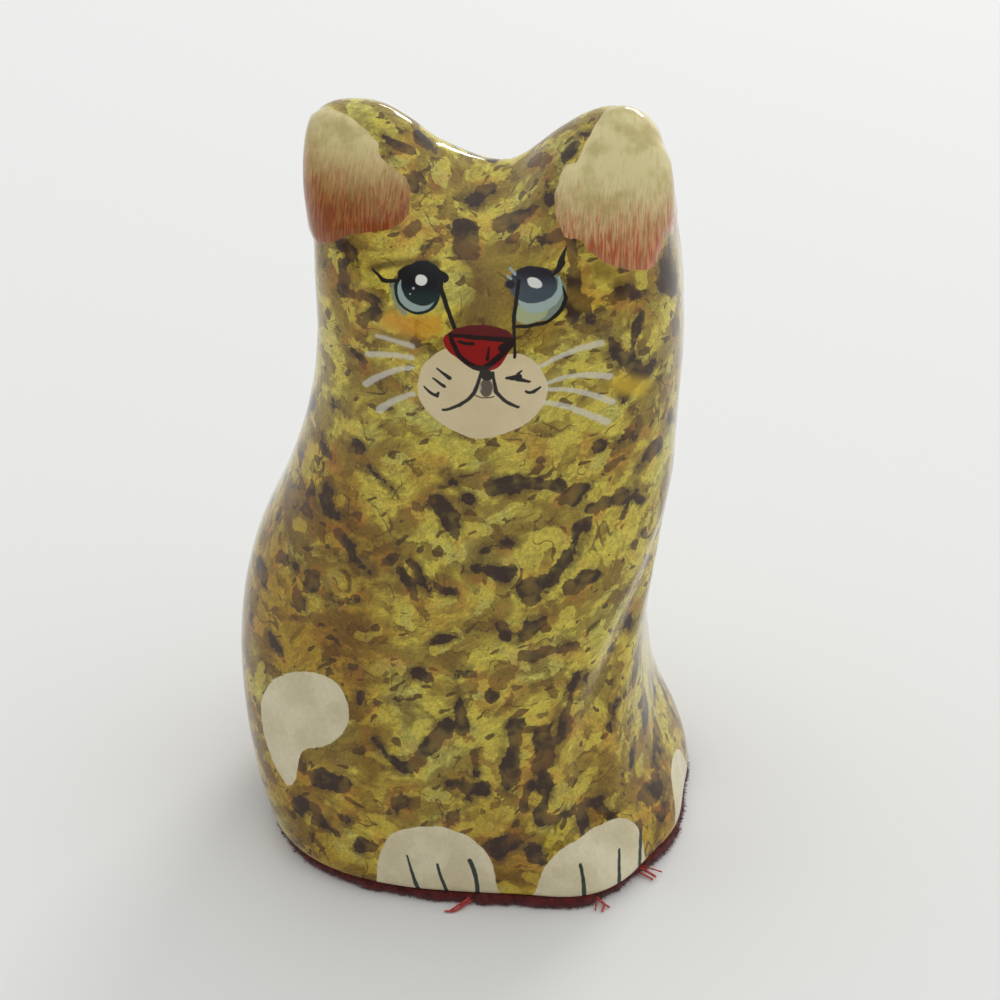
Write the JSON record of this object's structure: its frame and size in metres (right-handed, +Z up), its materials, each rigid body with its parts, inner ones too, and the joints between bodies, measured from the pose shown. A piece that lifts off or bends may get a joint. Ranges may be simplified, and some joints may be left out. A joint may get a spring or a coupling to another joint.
{
  "type": "papier-mache cat ornament",
  "caption": "small seated cat figure in hand-painted, lacquered papier-mache with a mottled coat, white paws and tail tip, on a glued red felt pad",
  "frame": {"origin": "on the underside of the felt pad, under the upright axis of the figure", "axes": "+Z up along the figure's height, -Y the way the face looks, +X the cat's own left side"},
  "size_m": [0.0475, 0.0455, 0.0785],
  "materials": {
    "cat_body": "painted papier-mache under a glossy clear lacquer",
    "felt_pad": "matt red felt with a frayed edge"
  },
  "bodies": {
    "root": {"cat_body": "cat_body", "felt_pad": "felt_pad"}
  },
  "joints": []
}
